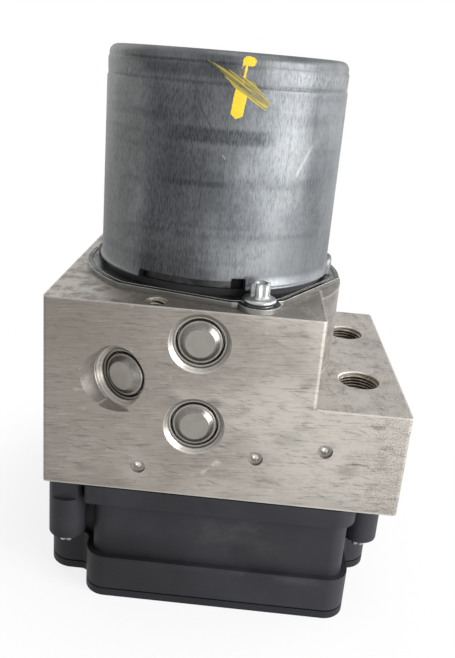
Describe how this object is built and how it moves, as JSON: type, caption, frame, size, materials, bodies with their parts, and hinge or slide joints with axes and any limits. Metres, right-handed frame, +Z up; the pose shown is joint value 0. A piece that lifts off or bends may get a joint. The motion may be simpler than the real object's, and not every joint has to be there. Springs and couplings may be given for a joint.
{
  "type": "brake pressure modulator",
  "caption": "Anti-lock brake module: machined aluminium hydraulic block with ports, plunger pump and valves, round electric motor on top and a black plastic controller below.",
  "frame": {"origin": "on the motor axis, at the outer face of the controller's cover, which the unit stands on", "axes": "+Z up along the motor axis, +X towards the ledge with the two supply ports, -Y towards the face with three pump plugs"},
  "size_m": [0.1089, 0.124, 0.1678],
  "materials": {
    "block_aluminium": "milled, dulled and scuffed",
    "can_steel": "zinc plated, drawn",
    "plate_steel": "zinc plated, pressed",
    "screw_steel": "bright zinc",
    "plug_steel": "turned, satin",
    "hard_steel": "ground",
    "spring_steel": "drawn wire",
    "core_steel": "stamped laminations",
    "piston_metal": "anodised",
    "magnet": "sintered ferrite",
    "copper": "enamelled copper",
    "contact_metal": "tin plated",
    "bush_bronze": "sintered bronze",
    "carbon": "pressed carbon",
    "housing_plastic": "moulded, satin black",
    "inner_plastic": "moulded",
    "component_plastic": "moulded chip body",
    "board_laminate": "glass fibre laminate",
    "seal_rubber": "moulded"
  },
  "bodies": {
    "unit": {"hydraulic_block": "block_aluminium", "ball_plugs": "plug_steel", "pump_caps": "plug_steel", "pump_sleeves": "hard_steel", "accumulator_caps": "plug_steel", "motor_can": "can_steel", "magnets": "magnet", "end_plate": "plate_steel", "motor_seal": "seal_rubber", "brush_holder": "inner_plastic", "motor_screws": "screw_steel", "can_bush": "bush_bronze", "bearing_outer_ring": "hard_steel", "end_bush": "bush_bronze", "ecu_housing": "housing_plastic", "ecu_cover": "housing_plastic", "housing_seal": "seal_rubber", "circuit_board": "board_laminate", "board_parts": "component_plastic", "pin_guide": "inner_plastic", "valve_coils": "copper", "inlet_valves": "hard_steel", "outlet_valves": "hard_steel", "pressure_sensor": "hard_steel", "connector_pins": "contact_metal", "housing_screws": "screw_steel", "motor_contact": "inner_plastic", "accumulator_spring_front": "spring_steel", "accumulator_spring_rear": "spring_steel", "brush_spring_1": "spring_steel", "brush_spring_2": "spring_steel", "plunger_spring_1": "spring_steel", "plunger_spring_2": "spring_steel", "plunger_spring_3": "spring_steel", "plunger_spring_4": "spring_steel", "plunger_spring_5": "spring_steel", "plunger_spring_6": "spring_steel"},
    "rotor": {"rotor_shaft": "hard_steel", "rotor_core": "core_steel", "rotor_windings": "copper", "commutator": "copper", "bearing_inner_ring": "hard_steel"},
    "bearing_ball_set": {"bearing_balls": "hard_steel", "bearing_cage": "inner_plastic"},
    "roller_set_1": {"needle_rollers_1": "hard_steel"},
    "ring_1": {"eccentric_ring_1": "hard_steel"},
    "roller_set_2": {"needle_rollers_2": "hard_steel"},
    "ring_2": {"eccentric_ring_2": "hard_steel"},
    "roller_set_3": {"needle_rollers_3": "hard_steel"},
    "ring_3": {"eccentric_ring_3": "hard_steel"},
    "plunger_1": {"pump_plunger_1": "hard_steel"},
    "plunger_2": {"pump_plunger_2": "hard_steel"},
    "plunger_3": {"pump_plunger_3": "hard_steel"},
    "plunger_4": {"pump_plunger_4": "hard_steel"},
    "plunger_5": {"pump_plunger_5": "hard_steel"},
    "plunger_6": {"pump_plunger_6": "hard_steel"},
    "accumulator_front": {"accumulator_piston_front": "piston_metal"},
    "accumulator_rear": {"accumulator_piston_rear": "piston_metal"},
    "brush_1": {"brush_1": "carbon"},
    "brush_2": {"brush_2": "carbon"}
  },
  "joints": [
    {"name": "rotor_spin", "type": "hinge", "parent": "unit", "child": "rotor", "pos_m": [0, 0, 0.1], "axis": [0, 0, 1], "continuous": true},
    {"name": "bearing_cage_spin", "type": "hinge", "parent": "unit", "child": "bearing_ball_set", "pos_m": [0, 0, 0.0995], "axis": [0, 0, 1], "continuous": true},
    {"name": "roller_set_1_spin", "type": "hinge", "parent": "rotor", "child": "roller_set_1", "pos_m": [0.001, 0, 0.0892], "axis": [0, 0, 1], "continuous": true},
    {"name": "ring_1_spin", "type": "hinge", "parent": "rotor", "child": "ring_1", "pos_m": [0.001, 0, 0.0892], "axis": [0, 0, 1], "continuous": true},
    {"name": "roller_set_2_spin", "type": "hinge", "parent": "rotor", "child": "roller_set_2", "pos_m": [-0.0005, 0.00087, 0.0762], "axis": [0, 0, 1], "continuous": true},
    {"name": "ring_2_spin", "type": "hinge", "parent": "rotor", "child": "ring_2", "pos_m": [-0.0005, 0.00087, 0.0762], "axis": [0, 0, 1], "continuous": true},
    {"name": "roller_set_3_spin", "type": "hinge", "parent": "rotor", "child": "roller_set_3", "pos_m": [-0.0005, -0.00087, 0.0632], "axis": [0, 0, 1], "continuous": true},
    {"name": "ring_3_spin", "type": "hinge", "parent": "rotor", "child": "ring_3", "pos_m": [-0.0005, -0.00087, 0.0632], "axis": [0, 0, 1], "continuous": true},
    {"name": "plunger_1_slide", "type": "slide", "parent": "unit", "child": "plunger_1", "axis": [0, -1, 0], "range_m": [0, 0.002], "stiffness_N_per_m": 600, "deforming": ["plunger_spring_1"]},
    {"name": "plunger_2_slide", "type": "slide", "parent": "unit", "child": "plunger_2", "axis": [-0.4617, -0.887, 0], "range_m": [0, 0.002], "stiffness_N_per_m": 600, "deforming": ["plunger_spring_2"]},
    {"name": "plunger_3_slide", "type": "slide", "parent": "unit", "child": "plunger_3", "axis": [0, -1, 0], "range_m": [0, 0.002], "stiffness_N_per_m": 600, "deforming": ["plunger_spring_3"]},
    {"name": "plunger_4_slide", "type": "slide", "parent": "unit", "child": "plunger_4", "axis": [0, 1, 0], "range_m": [0, 0.002], "stiffness_N_per_m": 600, "deforming": ["plunger_spring_4"]},
    {"name": "plunger_5_slide", "type": "slide", "parent": "unit", "child": "plunger_5", "axis": [-0.4617, 0.887, 0], "range_m": [0, 0.002], "stiffness_N_per_m": 600, "deforming": ["plunger_spring_5"]},
    {"name": "plunger_6_slide", "type": "slide", "parent": "unit", "child": "plunger_6", "axis": [0, 1, 0], "range_m": [0, 0.002], "stiffness_N_per_m": 600, "deforming": ["plunger_spring_6"]},
    {"name": "accumulator_front_slide", "type": "slide", "parent": "unit", "child": "accumulator_front", "axis": [-1, 0, 0], "range_m": [0, 0.006], "stiffness_N_per_m": 2500, "deforming": ["accumulator_spring_front"]},
    {"name": "accumulator_rear_slide", "type": "slide", "parent": "unit", "child": "accumulator_rear", "axis": [-1, 0, 0], "range_m": [0, 0.006], "stiffness_N_per_m": 2500, "deforming": ["accumulator_spring_rear"]},
    {"name": "brush_1_slide", "type": "slide", "parent": "unit", "child": "brush_1", "axis": [0, 1, 0], "range_m": [0, 0.003], "stiffness_N_per_m": 150, "deforming": ["brush_spring_1"]},
    {"name": "brush_2_slide", "type": "slide", "parent": "unit", "child": "brush_2", "axis": [0, -1, 0], "range_m": [0, 0.003], "stiffness_N_per_m": 150, "deforming": ["brush_spring_2"]}
  ],
  "couplings": [
    {"joint": "bearing_cage_spin", "follows": "rotor_spin", "ratio": 0.36667},
    {"joint": "roller_set_1_spin", "follows": "rotor_spin", "ratio": -0.56068},
    {"joint": "ring_1_spin", "follows": "rotor_spin", "ratio": -1},
    {"joint": "roller_set_2_spin", "follows": "rotor_spin", "ratio": -0.56068},
    {"joint": "ring_2_spin", "follows": "rotor_spin", "ratio": -1},
    {"joint": "roller_set_3_spin", "follows": "rotor_spin", "ratio": -0.56068},
    {"joint": "ring_3_spin", "follows": "rotor_spin", "ratio": -1}
  ]
}
